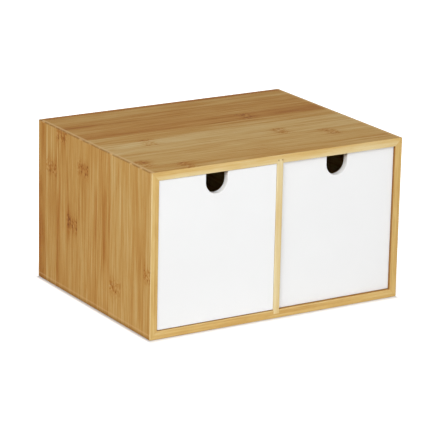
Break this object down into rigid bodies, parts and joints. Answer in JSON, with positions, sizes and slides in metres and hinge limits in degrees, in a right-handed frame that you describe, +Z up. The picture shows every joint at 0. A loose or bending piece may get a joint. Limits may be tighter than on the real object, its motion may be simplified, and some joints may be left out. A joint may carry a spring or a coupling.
{
  "type": "desktop drawer cabinet",
  "caption": "Low desktop cabinet in bamboo: a mitred board case with an upright divider and side-by-side white drawers that pull straight out by a finger notch",
  "frame": {"origin": "on the surface that the cabinet stands on, under the middle of its closed box", "axes": "X across the front from left to right, Y from the front to the back, Z up"},
  "size_m": [0.26, 0.205, 0.15],
  "materials": {
    "case_bamboo": "flat-pressed bamboo strips under a clear satin lacquer",
    "pale_bamboo": "sanded pale bamboo, clear matte lacquer",
    "white_lacquer": "smooth white lacquer on fibreboard, satin",
    "thin_panel": "thin bamboo-faced ply, sanded",
    "brad_steel": "plain steel brads"
  },
  "bodies": {
    "case": {"top_board": "case_bamboo", "bottom_board": "case_bamboo", "left_side": "case_bamboo", "right_side": "case_bamboo", "divider": "pale_bamboo", "back_panel": "thin_panel", "spline_top_left": "case_bamboo", "spline_top_right": "case_bamboo", "spline_bottom_left": "case_bamboo", "spline_bottom_right": "case_bamboo"},
    "left_drawer": {"left_drawer_front": "white_lacquer", "left_drawer_left_side": "pale_bamboo", "left_drawer_right_side": "pale_bamboo", "left_drawer_back": "pale_bamboo", "left_drawer_bottom": "thin_panel", "left_drawer_brads": "brad_steel"},
    "right_drawer": {"right_drawer_front": "white_lacquer", "right_drawer_left_side": "pale_bamboo", "right_drawer_right_side": "pale_bamboo", "right_drawer_back": "pale_bamboo", "right_drawer_bottom": "thin_panel", "right_drawer_brads": "brad_steel"}
  },
  "joints": [
    {"name": "left_drawer_slide", "type": "slide", "parent": "case", "child": "left_drawer", "axis": [0, -1, 0], "range_m": [0, 0.175]},
    {"name": "right_drawer_slide", "type": "slide", "parent": "case", "child": "right_drawer", "axis": [0, -1, 0], "range_m": [0, 0.175]}
  ]
}
